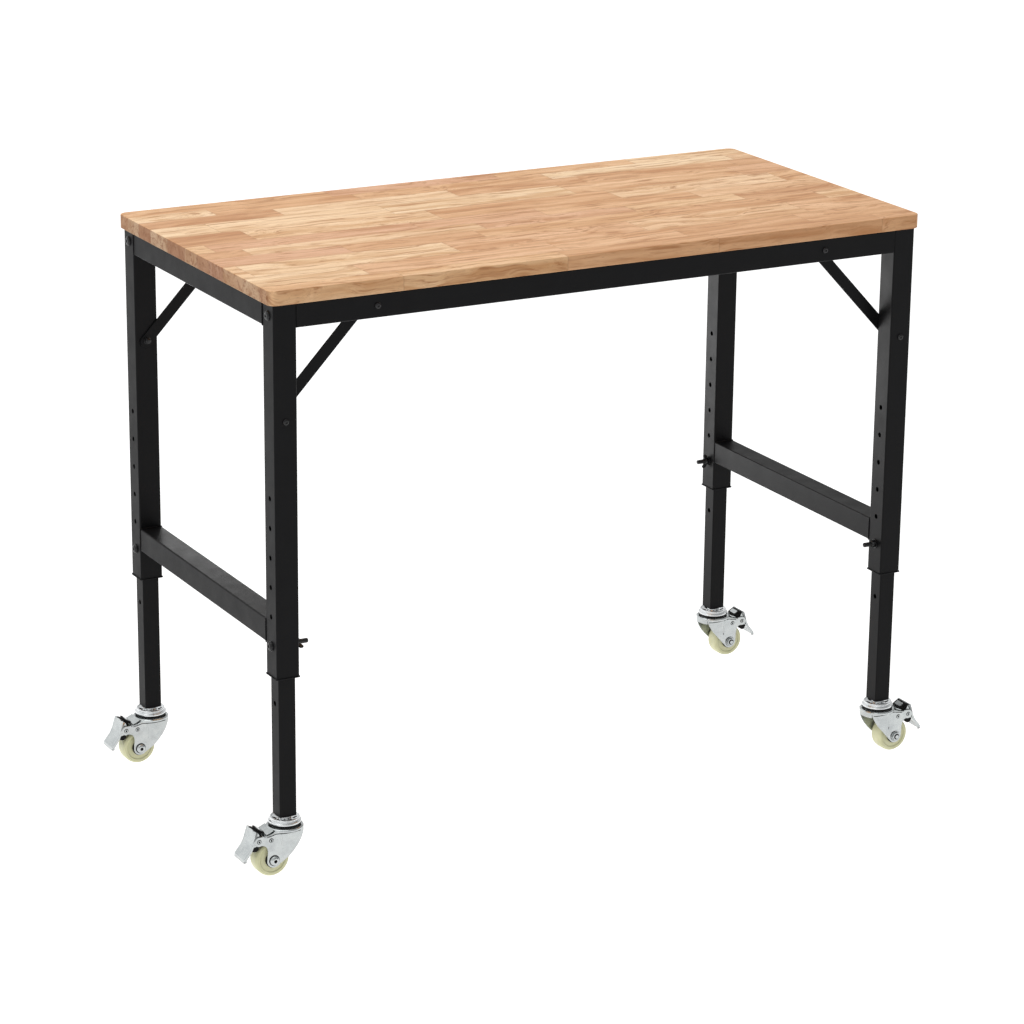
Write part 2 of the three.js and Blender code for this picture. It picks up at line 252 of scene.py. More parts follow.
def dark(bm):
    """Gives every face material 1, the dark one of a piece. Most such faces are painted shade in gaps and
    holes.
    """
    for face in bm.faces:
        face.material_index = 1
    return bm


def turned(bm, degrees, axis):
    turn = Matrix.Rotation(math.radians(degrees), 3, axis)
    bmesh.ops.rotate(bm, verts=bm.verts, cent=(0, 0, 0), matrix=turn)
    return bm


def moved(bm, x=0, y=0, z=0):
    bmesh.ops.translate(bm, verts=bm.verts, vec=(x, y, z))
    return bm


def carved(body, *tools):
    """The body with the tools cut out of it. Faces that a tool leaves get material 1."""
    stand_ins = []
    for index, bm in enumerate((body, together(*tools))):
        mesh = bpy.data.meshes.new("carve")
        bm.to_mesh(mesh)
        bm.free()
        for number in range(2):
            mesh.materials.append(carve_marks[number])
        mesh.polygons.foreach_set("material_index", [index] * len(mesh.polygons))
        stand_in = bpy.data.objects.new("carve", mesh)
        bpy.context.scene.collection.objects.link(stand_in)
        stand_ins.append(stand_in)
    cut = stand_ins[0].modifiers.new("cut", "BOOLEAN")
    cut.object = stand_ins[1]
    cut.solver = "EXACT"
    cut.material_mode = "INDEX"
    result = bmesh.new()
    result.from_object(stand_ins[0], bpy.context.evaluated_depsgraph_get())
    for stand_in in stand_ins:
        mesh = stand_in.data
        bpy.data.objects.remove(stand_in)
        bpy.data.meshes.remove(mesh)
    return result


carve_marks = [bpy.data.materials.new(name) for name in ("carve_body", "carve_tool")]


# ---- Materials ----

class Graph:
    """A material's node tree. Each call adds a node and gives its output socket."""

    def __init__(self, name):
        self.material = bpy.data.materials.new(name)
        self.material.use_nodes = True
        self.tree = self.material.node_tree
        self.shader = self.tree.nodes["Principled BSDF"]

    def node(self, kind, inputs, output=0, **settings):
        made = self.tree.nodes.new("ShaderNode" + kind)
        for key, value in settings.items():
            setattr(made, key, value)
        for key, value in inputs.items():
            self.feed(made.inputs[key], value)
        return made.outputs[output]

    def feed(self, socket, value):
        if isinstance(value, bpy.types.NodeSocket):
            self.tree.links.new(value, socket)
        else:
            socket.default_value = value

    def place(self):
        return self.node("TexCoord", {}, "Object")

    def math(self, operation, first, second=0.0, third=0.0):
        return self.node("Math", {0: first, 1: second, 2: third}, operation=operation)

    def stretched(self, vector, scale, offset=None):
        out = self.node("VectorMath", {0: vector, 1: scale}, operation="MULTIPLY")
        if offset is not None:
            out = self.node("VectorMath", {0: out, 1: offset}, operation="ADD")
        return out

    def noise(self, vector, scale, detail=3.0, roughness=0.55):
        inputs = {"Vector": vector, "Scale": scale, "Detail": detail, "Roughness": roughness}
        return self.node("TexNoise", inputs)

    def ramp(self, factor, *stops):
        out = self.node("ValToRGB", {0: factor})
        bar = out.node.color_ramp
        while len(bar.elements) < len(stops):
            bar.elements.new(0.5)
        for element, (position, colour) in zip(bar.elements, stops):
            element.position = position
            element.color = (*colour, 1)
        return out

    def spread(self, factor, low, high, start=0.3, end=0.7):
        """factor from start to end, spread over low to high."""
        return self.node("MapRange", {0: factor, 1: start, 2: end, 3: low, 4: high})

    def mix(self, factor, first, second, blend="MIX"):
        inputs = {0: factor, 6: first, 7: second}
        return self.node("Mix", inputs, 2, data_type="RGBA", blend_type=blend)

    def bump(self, height, strength, distance):
        return self.node("Bump", {"Strength": strength, "Distance": distance, "Height": height})

    def finish(self, **inputs):
        for key, value in inputs.items():
            self.feed(self.shader.inputs[key.replace("_", " ")], value)
        return self.material


def wood():
    """Hardwood staves along X, each made of blocks with their own colour, rings and figure."""
    g = Graph("stave_wood")
    place = g.place()
    axes = g.node("SeparateXYZ", {0: place}).node.outputs
    x, y, z = axes[0], axes[1], axes[2]

    # Staves side by side, their widths a little unequal, each cut into blocks of uneven length.
    swing = g.math("SINE", g.math("MULTIPLY_ADD", y, 23.0, 1.0))
    across = g.math("MULTIPLY_ADD", swing, 0.22, g.math("MULTIPLY_ADD", y, 17.2, 40.4))
    row = g.math("FLOOR", across)
    in_row = g.math("SUBTRACT", g.math("FRACT", across), 0.5)
    along = g.math("MULTIPLY_ADD", row, 7.37, g.math("MULTIPLY", x, 3.1))
    cells = {"W": along, "Scale": 1.0, "Randomness": 0.7}
    block = g.node("TexVoronoi", cells, "Color", voronoi_dimensions="1D")
    join = g.node("TexVoronoi", cells, "Distance", voronoi_dimensions="1D", feature="DISTANCE_TO_EDGE")
    lots = g.node("SeparateColor", {0: block}).node.outputs
    shift = g.stretched(block, (9.0, 9.0, 9.0))

    # The grain wanders from side to side, more in some blocks than in others.
    drift = g.noise(g.stretched(place, (4.5, 9.0, 9.0), shift), 1.0, 2.0)
    wander = g.math("MULTIPLY", g.math("SUBTRACT", drift, 0.5), g.math("MULTIPLY_ADD", lots[1], 0.11, 0.03))
    grain = g.node("CombineXYZ", {0: x, 1: g.math("ADD", y, wander), 2: g.math("ADD", z, wander)})

    # Growth rings round a centre line of the block's own, which leans a little along X.
    lean = g.math("MULTIPLY", x, g.math("MULTIPLY_ADD", lots[2], 0.16, -0.08))
    aside = g.math("MULTIPLY_ADD", in_row, 0.058, g.math("MULTIPLY_ADD", lots[0], 0.10, -0.05))
    above = g.math("ADD", g.math("ADD", z, lean), g.math("MULTIPLY_ADD", lots[1], 0.05, -1.005))
    squares = g.math("ADD", g.math("MULTIPLY", aside, aside), g.math("MULTIPLY", above, above))
    radius = g.math("MULTIPLY_ADD", drift, 0.02, g.math("SQRT", squares))
    rings = g.spread(g.math("FRACT", g.math("MULTIPLY", radius, 190.0)), 0.0, 1.0, 0.3, 1.0)

    figure = g.noise(g.stretched(grain, (3.0, 42.0, 42.0), shift), 1.0, 3.0, 0.6)
    streak = g.noise(g.stretched(grain, (6.5, 120.0, 120.0), shift), 1.0, 3.0, 0.65)
    fibre = g.noise(g.stretched(grain, (14.0, 480.0, 480.0), shift), 1.0, 3.0, 0.6)
    pores = g.noise(g.stretched(grain, (60.0, 1500.0, 1500.0), shift), 1.0, 1.0)
    pores = g.spread(pores, 0.0, 1.0, 0.64, 0.74)

    tone = g.ramp(
        lots[0],
        (0.0, (0.62, 0.335, 0.168)), (0.22, (0.74, 0.44, 0.235)), (0.45, (0.80, 0.52, 0.29)),
        (0.68, (0.90, 0.675, 0.43)), (0.86, (0.77, 0.47, 0.26)), (1.0, (0.70, 0.40, 0.24)),
    )
    shade = g.ramp(
        figure, (0.34, (0.80, 0.66, 0.53)), (0.50, (1.0, 0.97, 0.94)), (0.66, (1.12, 1.16, 1.22))
    )
    colour = g.mix(1.0, tone, shade, "MULTIPLY")
    late = g.mix(g.math("MULTIPLY", rings, 0.22), colour, (0.55, 0.29, 0.14, 1))
    streaked = g.mix(g.spread(streak, 0.0, 0.95, 0.52, 0.66), late, (0.46, 0.21, 0.085, 1))
    fibred = g.mix(g.spread(fibre, 0.0, 0.26, 0.45, 0.68), streaked, (0.50, 0.29, 0.15, 1))
    pored = g.mix(g.math("MULTIPLY", pores, 0.50), fibred, (0.25, 0.13, 0.06, 1))
    edge = g.math("SUBTRACT", 0.5, g.math("ABSOLUTE", in_row))
    beside = g.spread(edge, 1.0, 0.0, 0.006, 0.016)
    glue = g.math("MAXIMUM", beside, g.spread(join, 1.0, 0.0, 0.001, 0.0035))
    glued = g.mix(g.math("MULTIPLY", glue, 0.36), pored, (0.34, 0.18, 0.09, 1))

    # End grain is darker and rosier, and the same darkening also paints shade onto the ends. It shows where
    # the surface faces along X. The faces along Y get a painted shade, about a fifth darker.
    facing = g.node("SeparateXYZ", {0: g.node("NewGeometry", {}, "True Normal")}).node.outputs
    end = g.spread(g.math("ABSOLUTE", facing[0]), 0.0, 1.0, 0.55, 0.95)
    side = g.spread(g.math("ABSOLUTE", facing[1]), 0.0, 1.0, 0.55, 0.95)
    side_shaded = g.mix(side, glued, g.mix(1.0, glued, (0.80, 0.78, 0.76, 1), "MULTIPLY"))
    end_grain_and_shade = g.mix(end, side_shaded, g.mix(1.0, glued, (0.50, 0.45, 0.43, 1), "MULTIPLY"))

    sunk = g.math("ADD", pores, g.math("MULTIPLY", glue, 0.6))
    height = g.math("SUBTRACT", g.math("MULTIPLY", fibre, 0.5), sunk)
    return g.finish(
        Base_Color=end_grain_and_shade,
        Roughness=g.spread(fibre, 0.48, 0.62),
        Normal=g.bump(height, 0.25, 0.0002),
        Specular_IOR_Level=0.22,
    )


def powder_coat():
    """Black powder coat: a fine orange peel, and a faint cloudiness in gloss and shade."""
    g = Graph("powder_coat")
    place = g.place()
    cloud = g.noise(place, 26.0, 4.0, 0.6)
    peel = g.noise(place, 1100.0, 2.0)
    grain = g.noise(place, 3600.0, 1.0)
    colour = g.ramp(cloud, (0.3, (0.0032, 0.0032, 0.0036)), (0.7, (0.0054, 0.0054, 0.0060)))
    height = g.math("MULTIPLY_ADD", grain, 0.35, peel)
    return g.finish(
        Base_Color=colour,
        Roughness=g.spread(cloud, 0.40, 0.50),
        Normal=g.bump(height, 0.35, 0.00012),
        Specular_IOR_Level=0.11,
    )


def black_oxide():
    """Blackened steel of the bolts and nuts: darker and glossier than the powder coat."""
    g = Graph("black_oxide")
    place = g.place()
    cloud = g.noise(place, 90.0, 4.0, 0.6)
    rub = g.noise(place, 700.0, 2.0)
    colour = g.ramp(cloud, (0.3, (0.004, 0.004, 0.0045)), (0.75, (0.010, 0.010, 0.011)))
    return g.finish(
        Base_Color=colour,
        Specular_IOR_Level=0.35,
        Roughness=g.spread(cloud, 0.20, 0.30),
        Normal=g.bump(rub, 0.2, 0.0001),
    )


def zinc():
    """Bright zinc plate on pressed steel: faint spangle, drawing streaks and duller patches."""
    g = Graph("zinc_plate")
    place = g.place()
    patch = g.noise(place, 55.0, 4.0, 0.6)
    streak = g.noise(g.stretched(place, (1.0, 1.0, 9.0)), 260.0, 2.0)
    dimple = g.noise(place, 900.0, 2.0)
    base = g.ramp(
        patch, (0.28, (0.43, 0.455, 0.46)), (0.55, (0.53, 0.56, 0.56)), (0.8, (0.585, 0.61, 0.60))
    )
    colour = g.mix(g.spread(streak, 0.0, 0.16), base, (0.33, 0.35, 0.36, 1))
    rough = g.math("ADD", g.spread(patch, 0.15, 0.25), g.spread(streak, -0.02, 0.04))
    return g.finish(
        Base_Color=colour,
        Metallic=0.95,
        Roughness=rough,
        Normal=g.bump(dimple, 0.16, 0.00012),
    )


def bright_zinc():
    """The same plate, rubbed bright, on the turned rings of the caster heads."""
    g = Graph("bright_zinc")
    place = g.place()
    patch = g.noise(place, 70.0, 4.0, 0.6)
    dimple = g.noise(place, 700.0, 2.0)
    colour = g.ramp(patch, (0.3, (0.66, 0.68, 0.69)), (0.7, (0.80, 0.82, 0.83)))
    return g.finish(
        Base_Color=colour,
        Metallic=1.0,
        Roughness=g.spread(patch, 0.07, 0.16),
        Normal=g.bump(dimple, 0.08, 0.0001),
    )


def nylon():
    """Cream nylon of the wheels: slightly translucent, with a soft moulded surface."""
    g = Graph("cream_nylon")
    place = g.place()
    cloud = g.noise(place, 60.0, 3.0)
    scuff = g.noise(place, 1300.0, 2.0)
    colour = g.ramp(cloud, (0.3, (0.565, 0.565, 0.335)), (0.7, (0.665, 0.66, 0.425)))
    return g.finish(
        Base_Color=colour,
        Roughness=g.spread(cloud, 0.34, 0.46),
        Normal=g.bump(scuff, 0.15, 0.0001),
        Subsurface_Weight=0.08,
        Subsurface_Radius=(0.002, 0.002, 0.001),
        Subsurface_Scale=1.0,
    )


def black_plastic():
    """Moulded black plastic with a fine spark-eroded grain."""
    g = Graph("black_plastic")
    place = g.place()
    grain = g.noise(place, 1900.0, 2.0)
    cloud = g.noise(place, 45.0, 3.0)
    colour = g.ramp(cloud, (0.3, (0.0045, 0.0045, 0.005)), (0.7, (0.009, 0.009, 0.0095)))
    return g.finish(
        Base_Color=colour,
        Roughness=g.spread(grain, 0.48, 0.62),
        Normal=g.bump(grain, 0.3, 0.00012),
        Specular_IOR_Level=0.12,
    )


WOOD = wood()
COAT = powder_coat()
OXIDE = black_oxide()
ZINC = zinc()
BRIGHT = bright_zinc()
NYLON = nylon()
PLASTIC = black_plastic()


# ---- Pieces ----

# The powder-coated pieces: the low fill light is for them alone, so that the zinc doesn't mirror it.
coated = bpy.data.collections.new("coated_pieces")


def piece(name, bm, material, body, *nodes, place=None, inside=None):
    """Makes an object of a bmesh in millimetres, with its finish, its body and the CAD nodes it replaces.

    inside is the finish of the faces marked dark. Black plastic there paints shade into sockets, slots, holes
    and gaps, and colours some real black washers.
    """
    shape = bm.copy()
    shape.transform(place or Matrix.Identity(4))
    shape.transform(Matrix.Scale(MM, 4))
    mesh = bpy.data.meshes.new(name)
    shape.to_mesh(mesh)
    shape.free()
    mesh.materials.append(material)
    mesh.materials.append(inside or material)
    mesh.shade_smooth()
    made = bpy.data.objects.new(name, mesh)
    bpy.context.scene.collection.objects.link(made)
    weigh = made.modifiers.new("flat_faces", "WEIGHTED_NORMAL")
    weigh.keep_sharp = True
    weigh.weight = 90
    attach(made, body)
    if nodes:
        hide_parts(*nodes)
    if material is COAT:
        coated.objects.link(made)


def box_mm(node):
    """A CAD node's lowest and highest corners, in millimetres."""
    low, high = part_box(node)
    return low / MM, high / MM


def corner_place(corner):
    """From a corner's own frame to the bench's, in millimetres."""
    low, high = box_mm(f"outer_leg_{corner}")
    middle = (low + high) / 2
    turn = 0 if middle.x > 0 else math.pi
    return Matrix.Translation((middle.x, middle.y, 0)) @ Matrix.Rotation(turn, 4, "Z")


def square_tube(side, corner, low, high, axis):
    """A hollow square tube along an axis, open at both ends."""
    bore = side - 2 * TUBE_WALL
    outer = rectangle(side, side, corner, 6)
    inner = rectangle(bore, bore, max(corner - TUBE_WALL, 0.4), 6)
    rings = [(outer, low), (outer, high), (inner, high), (inner, low)]
    points = [[PLACED[axis](p[0], p[1], w) for p in outline] for outline, w in rings]
    return soften(loft(points, closed=True), 0.35, 2, 50)


def worktop():
    """The wood slab, its upper and lower edges eased all round."""
    low, high = box_mm("worktop")
    size = high - low
    steps = 5
    rings = []
    for level, way in ((low.z, 1), (high.z, -1)):
        ring_steps = range(steps + 1) if way > 0 else range(steps, -1, -1)
        for step in ring_steps:
            angle = math.pi / 2 * step / steps
            inset = TOP_EASE * (1 - math.sin(angle))
            rise = TOP_EASE * (1 - math.cos(angle))
            outline = rectangle(size.x - 2 * inset, size.y - 2 * inset, TOP_CORNER - inset, 14)
            rings.append([Vector((p[0], p[1], level + way * rise)) for p in outline])
    piece("worktop_staves", loft(rings), WOOD, "frame", "worktop")


def bars():
    """End rails and lower bars of the end frames, and their weld beads."""
    for side in ("left", "right"):
        for kind in ("side_apron", "crossbar"):
            node = f"{kind}_{side}"
            low, high = box_mm(node)
            middle = (low + high) / 2
            width = high.x - low.x
            place = Matrix.Translation((middle.x, 0, middle.z))
            tube = square_tube(width, TUBE_ROUND, low.y, high.y, "y")
            piece(f"{node}_tube", tube, COAT, "frame", node, place=place)
            beads = together(*[weld_bead(width, end) for end in (low.y, high.y)])
            piece(f"{node}_welds", beads, COAT, "frame", place=place)


def weld_bead(side, y):
    """A rippled bead round the end of a square tube."""
    around = rectangle(side + BEAD["gap"], side + BEAD["gap"], TUBE_ROUND, 6)
    lengths = [0.0]
    count = len(around)
    for i in range(count):
        lengths.append(lengths[-1] + (around[(i + 1) % count] - around[i]).length)
    steps = 160
    rings = []
    for step in range(steps):
        want = lengths[-1] * step / steps
        i = max(n for n in range(count) if lengths[n] <= want)
        start, end = around[i], around[(i + 1) % count]
        share = (want - lengths[i]) / max(lengths[i + 1] - lengths[i], 1e-6)
        point = start.lerp(end, share)
        out = point.normalized()
        radius = BEAD["radius"] + BEAD["ripple"] * math.sin(math.tau * BEAD["ripples"] * step / steps)
        inward = -1 if y > 0 else 1
        ring = []
        for n in range(8):
            angle = math.tau * n / 8
            flat = point + out * radius * math.cos(angle)
            ring.append(Vector((flat.x, y + inward * radius * (0.35 + math.sin(angle)), flat.y)))
        rings.append(ring)
    return loft(rings, closed=True)


def long_aprons():
    """Long rails with the brace holes through them and a plate in each end."""
    for row in ("front", "back"):
        node = f"long_apron_{row}"
        low, high = box_mm(node)
        middle = (low + high) / 2
        side = high.z - low.z
        tube = square_tube(side, TUBE_ROUND, low.x, high.x, "x")
        holes = []
        plates = []
        for way in (-1, 1):
            holes.append(rod(BRACE["hole"], -side, side, "y", (way * BRACE["apron_x"], 0, 0), 24))
            bore = side - 2 * TUBE_WALL
            start, end = sorted((way * high.x, way * (high.x - END_PLATE)))
            plates.append(prism(rectangle(bore, bore, 1.5), start, end, "x"))
        bm = together(carved(tube, *holes), *plates)
        piece(f"{node}_tube", bm, COAT, "frame", node, place=Matrix.Translation((0, middle.y, middle.z)))


def braces():
    """Flat bars with round ends, each drilled for its two bolts."""
    leg_low, leg_high = box_mm("outer_leg_front_right")
    leg_x = (leg_low.x + leg_high.x) / 2
    apron_low, apron_high = box_mm("long_apron_front")
    apron_z = (apron_low.z + apron_high.z) / 2
    run, rise = leg_x - BRACE["apron_x"], apron_z - BRACE["leg_z"]
    span = math.hypot(run, rise)
    half = BRACE["width"] / 2
    over = BRACE["overhang"]
    outline = [*arc((span + over, 0), half, -0.5, 0.5), *arc((-over, 0), half, 0.5, 1.5)]
    holes = [rod(BRACE["hole"], -9, 9, "z", (x, 0, 0), 24) for x in (0, span)]
    bar = carved(prism(outline, 0, BRACE["thickness"]), *holes)
    soften(bar, 0.45)
    slope = math.degrees(math.atan2(rise, run))
    for corner in CORNERS:
        way = 1 if "right" in corner else -1
        low, high = box_mm(f"brace_{corner}")
        place = Matrix.Translation((way * BRACE["apron_x"], high.y if way > 0 else low.y, apron_z))
        if way < 0:
            place @= Matrix.Rotation(math.pi, 4, "Z")
        place @= Matrix.Rotation(math.radians(slope), 4, "Y") @ Matrix.Rotation(math.pi / 2, 4, "X")
        piece(f"brace_{corner}_bar", bar, COAT, "frame", f"brace_{corner}", place=place)


def button_head(radius, height, socket):
    """A domed socket head on +X, standing on x = 0, with a washer under it."""
    profile = [(0, 0), (radius, 0), (radius, 0.9)]
    for step in range(1, 9):
        angle = math.pi / 2 * step / 8
        profile.append((radius * (0.42 + 0.58 * math.cos(angle)), 0.9 + (height - 0.9) * math.sin(angle)))
    profile.append((0, height))
    dome = lathe(profile, 40, "x")
    # The socket's walls get material 1. Where a piece gives that the black plastic, it paints shade into the
    # socket.
    recess = prism(regular(6, socket), height * 0.45, height + 2, "x")
    return carved(dome, recess)


def hex_nut(radius, height, bolt):
    """A hexagon nut on +X, standing on x = 0, on a washer, with the rounded bolt end through it."""
    nut = soften(prism(regular(6, radius), 1.2, height + 1.2, "x"), 0.5)
    washer = soften(rod(radius * 1.15, 0, 1.2, "x"), 0.25)
    end = soften(rod(bolt, 0, height + 3.2, "x"), 0.6)
    # A black ring round the bolt end: painted shade where the end leaves the nut.
    gap = rod(bolt + 1.7, height, height + 1.35, "x")
    return together(nut, washer, dark(gap), end)


def brace_bolts():
    """Socket heads on the outer faces, and nuts on the braces, two on each brace."""
    for row, out in (("front", -1), ("back", 1)):
        apron_low, apron_high = box_mm(f"long_apron_{row}")
        outer = apron_low.y if out < 0 else apron_high.y
        apron_z = (apron_low.z + apron_high.z) / 2
        for side, way in (("left", -1), ("right", 1)):
            leg_low, leg_high = box_mm(f"outer_leg_{row}_{side}")
            brace_low, brace_high = box_mm(f"brace_{row}_{side}")
            inner = brace_high.y if out < 0 else brace_low.y
            leg_x = (leg_low.x + leg_high.x) / 2
            spots = (("leg", leg_x, BRACE["leg_z"]), ("apron", way * BRACE["apron_x"], apron_z))
            for end, x, z in spots:
                head = button_head(BRACE_BOLT["head"], BRACE_BOLT["height"], BRACE_BOLT["socket"])
                nut = hex_nut(BRACE_BOLT["nut"], BRACE_BOLT["nut_height"], BRACE_BOLT["shank"])
                head = moved(turned(head, 90 * out, "Z"), x, outer, z)
                nut = moved(turned(nut, -90 * out, "Z"), x, inner, z)
                shank = rod(BRACE_BOLT["shank"], *sorted((outer, inner)), "y", (x, 0, z), 20)
                piece(f"brace_bolt_{row}_{side}_{end}", together(head, nut, shank), OXIDE, "frame")


def top_screws():
    """Pan-head screws that hold the top, seen from below on the long aprons and end rails."""
    heads = []
    low, high = box_mm("side_apron_left")
    for way in (-1, 1):
        for y in TOP_SCREW_Y:
            heads.append(moved(pan_head(), way * abs(low.x + high.x) / 2, y, low.z))
    low, high = box_mm("long_apron_front")
    for way in (-1, 1):
        for x in TOP_SCREW_X:
            heads.append(moved(pan_head(), x, way * abs(low.y + high.y) / 2, low.z))
    piece("top_screws", together(*heads), OXIDE, "frame")


def pan_head():
    """A screw head hanging under z = 0, with a cross recess."""
    dome = lathe([(0, 0), (4.4, 0), (4.4, -0.8), (3.9, -1.9), (2.6, -2.6), (0, -2.8)], 28)
    cross = [prism(rectangle(*size, 0.2, 1), -4, -1.3) for size in ((4.2, 1.0), (1.0, 4.2))]
    return carved(carved(dome, cross[0]), cross[1])


def replace_nodes(corner, table):
    """Makes a corner's pieces. Each replaces the CAD node that its kind and the corner name."""
    place = corner_place(corner)
    for kind, ending, shape, (material, inside), body in table:
        node = f"{kind}_{corner}"
        piece(f"{node}_{ending}", shape, material, body, node, place=place, inside=inside)


# ---- Legs ----

def leg_pieces():
    """The tubes, collar, bolts and nut of each corner."""
    low, high = box_mm("outer_leg_front_right")
    side = high.x - low.x
    bolt_low, bolt_high = box_mm("lock_bolt_front_right")
    lock_z = (bolt_low.z + bolt_high.z) / 2
    bolt_low, bolt_high = box_mm("apron_bolt_front_right")
    apron_z = (bolt_low.z + bolt_high.z) / 2
    inner_low, inner_high = box_mm("inner_leg_front_right")
    slide = inner_high.x - inner_low.x

    drills = [rod(HOLE, -side, side, "x", (0, 0, lock_z + n * PITCH), 24) for n in range(OUTER_HOLES)]
    drills.append(rod(APRON_BOLT["drill"], -side, side, "x", (0, 0, apron_z), 24))
    drills.append(rod(BRACE["hole"], -side, side, "y", (0, 0, BRACE["leg_z"]), 24))
    outer = carved(square_tube(side, TUBE_ROUND, low.z, high.z, "z"), *drills)
    drills = [rod(HOLE, -side, side, "x", (0, 0, lock_z + n * PITCH), 24) for n in SLIDE_HOLES]
    inner = carved(square_tube(slide, SLIDE_ROUND, inner_low.z, inner_high.z, "z"), *drills)
    collar = bushing(low.z)
    apron = apron_bolt(side / 2, apron_z)
    lock = lock_bolt(side / 2, lock_z)

    for corner in CORNERS:
        wings = wing_nut(side / 2, lock_z, WING_TURN[corner])
        # The black plastic inside the apron and lock bolts paints shade into their sockets.
        table = (
            ("outer_leg", "tube", outer, (COAT, COAT), "frame"),
            ("inner_leg", "tube", inner, (COAT, COAT), f"sliding_leg_{corner}"),
            ("leg_bushing", "collar", collar, (PLASTIC, PLASTIC), "frame"),
            ("apron_bolt", "m8", apron, (OXIDE, PLASTIC), "frame"),
            ("lock_bolt", "m8", lock, (OXIDE, PLASTIC), f"bolt_{corner}"),
            ("wing_nut", "m8", wings, (OXIDE, OXIDE), f"nut_{corner}"),
        )
        replace_nodes(corner, table)


def bushing(bottom):
    """Plastic collar: a rounded lip under the outer leg and a sleeve inside it."""
    def ring(side, radius, z):
        return [Vector((p[0], p[1], z)) for p in rectangle(side, side, radius, 6)]

    flange, bore, sleeve = BUSHING["flange"], BUSHING["bore"], BUSHING["sleeve"]
    top = bottom + BUSHING["depth"]
    under = bottom - BUSHING["lip"]
    rings = [
        ring(bore, 2.6, under), ring(flange - 0.8, 3.6, under), ring(flange, 4, under + 0.4),
        ring(flange, 4, bottom - 0.3), ring(flange - 0.6, 3.7, bottom), ring(sleeve, 1.4, bottom),
        ring(sleeve, 1.4, top), ring(bore, 2.6, top),
    ]
    return loft(rings, closed=True)


def apron_bolt(face, z):
    """Socket head and washer outboard, and a nut on the end plate inboard."""
    head = button_head(APRON_BOLT["head"], APRON_BOLT["height"], APRON_BOLT["socket"])
    washer = soften(rod(APRON_BOLT["washer"], 0, 0.9, "x"), 0.2)
    nut = turned(hex_nut(APRON_BOLT["nut"], APRON_BOLT["nut_height"], APRON_BOLT["end"]), 180, "Z")
    shank = rod(APRON_BOLT["shank"], -face - END_PLATE, face + 0.4, "x", steps=24)
    parts = (moved(together(head, washer), face), moved(nut, -face - END_PLATE - 0.3), shank)
    return moved(together(*parts), z=z)


def thread(radius, start, end, pitch=1.25):
    """Profile of ring-shaped threads from start to end."""
    profile = []
    count = int(abs(end - start) / pitch)
    way = 1 if end > start else -1
    for n in range(count):
        base = start + way * n * pitch
        crest = [(radius, base + way * pitch * share) for share in (0.35, 0.6)]
        profile += [(radius * 0.9, base), *crest]
    return profile


def lock_bolt(face, z):
    """Socket head outboard, plain shank through both tubes, threaded end inboard."""
    tip = -face - LOCK_BOLT["tail"]
    head = button_head(LOCK_BOLT["head"], LOCK_BOLT["height"], LOCK_BOLT["socket"])
    washer = soften(rod(LOCK_BOLT["washer"], 0, 1.0, "x"), 0.25)
    profile = [(0, tip), (BOLT_RADIUS - 1.2, tip), (BOLT_RADIUS - 0.3, tip + 0.9)]
    profile += thread(BOLT_RADIUS, tip + 1.2, -face - 1)
    profile += [(BOLT_RADIUS, -face), (BOLT_RADIUS, face + 0.5), (0, face + 0.5)]
    shank = lathe(profile, 32, "x")
    return moved(together(moved(together(head, washer), face), shank), z=z)


def wing_nut(face, z, turn):
    """Washer, tapered hub and two flared wings, turned about the bolt."""
    washer = lathe([(4.3, 0), (8.5, 0), (8.5, -1.3), (8.2, -1.5), (4.3, -1.5)], 36, "x")
    hub = lathe([(4.3, -1.5), (6.5, -1.5), (6.3, -5.5), (5.6, -9), (4.3, -9)], 36, "x")
    parts = [washer, hub]
    wing = [(-1.6, 3.2), (-3, 8), (-6, 13.4), (-11.5, 13.4), (-12.4, 10.5), (-8.5, 3.2)]
    for side in (-1, 1):
        outline = rounded([(x, side * z) for x, z in wing], 2.6, 5)
        parts.append(soften(prism(outline, -1.6, 1.6, "y"), 0.9, 3))
    return moved(turned(together(*parts), turn, "X"), -face, 0, z)


# ---- Casters ----

def caster_head():
    """Riveted swivel head: recessed disc with slots, bright ring, and the kingpin with its rivet head. The
    slot walls are black plastic, painted shade in the slots.
    """
    under = FORK_TOP - 3.3
    kingpin = [
        (0, under - 4.5, 0), (8, under - 4.5, 1.5), (8, under, 0.4), (5.7, under, 0),
        (5.7, FORK_TOP + 0.3, 0),
    ]
    ring = [
        (24, FORK_TOP + 0.3, 0.5), (24, FORK_TOP + 4.6, 0), (27, FORK_TOP + 4.6, 1),
        (27.6, FORK_TOP + 6.4, 1.2), (27.2, FORK_TOP + 8.4, 1.2), (24.2, FORK_TOP + 9.4, 0.8),
    ]
    bowl = [
        (24.4, HEAD_TOP - 3.4, 0.6), (25, HEAD_TOP - 2.2, 1), (24.6, HEAD_TOP - 0.2, 1),
        (22.6, HEAD_TOP, 0.8), (21.6, HEAD_TOP - 1.8, 0.8), (14.5, HEAD_TOP - 4.6, 2),
        (11, HEAD_TOP - 4.2, 1), (11, SLIDE_BOTTOM - 2.2, 0), (0, SLIDE_BOTTOM - 2.2, 0),
    ]
    disc = lathe(smooth_profile(kingpin + ring + bowl), 72)
    outline = rounded([(12.6, -2.0), (19.6, -2.4), (19.6, 2.4), (12.6, 2.0)], 1.6, 4)
    slots = []
    for n in range(HEAD_SLOTS):
        slot = prism(outline, HEAD_TOP - 9, HEAD_TOP + 1)
        slots.append(turned(slot, 360 * (n + 0.5) / HEAD_SLOTS, "Z"))
    # The slot walls take material 1, the black plastic: painted shade in the slots.
    return carved(disc, *slots)


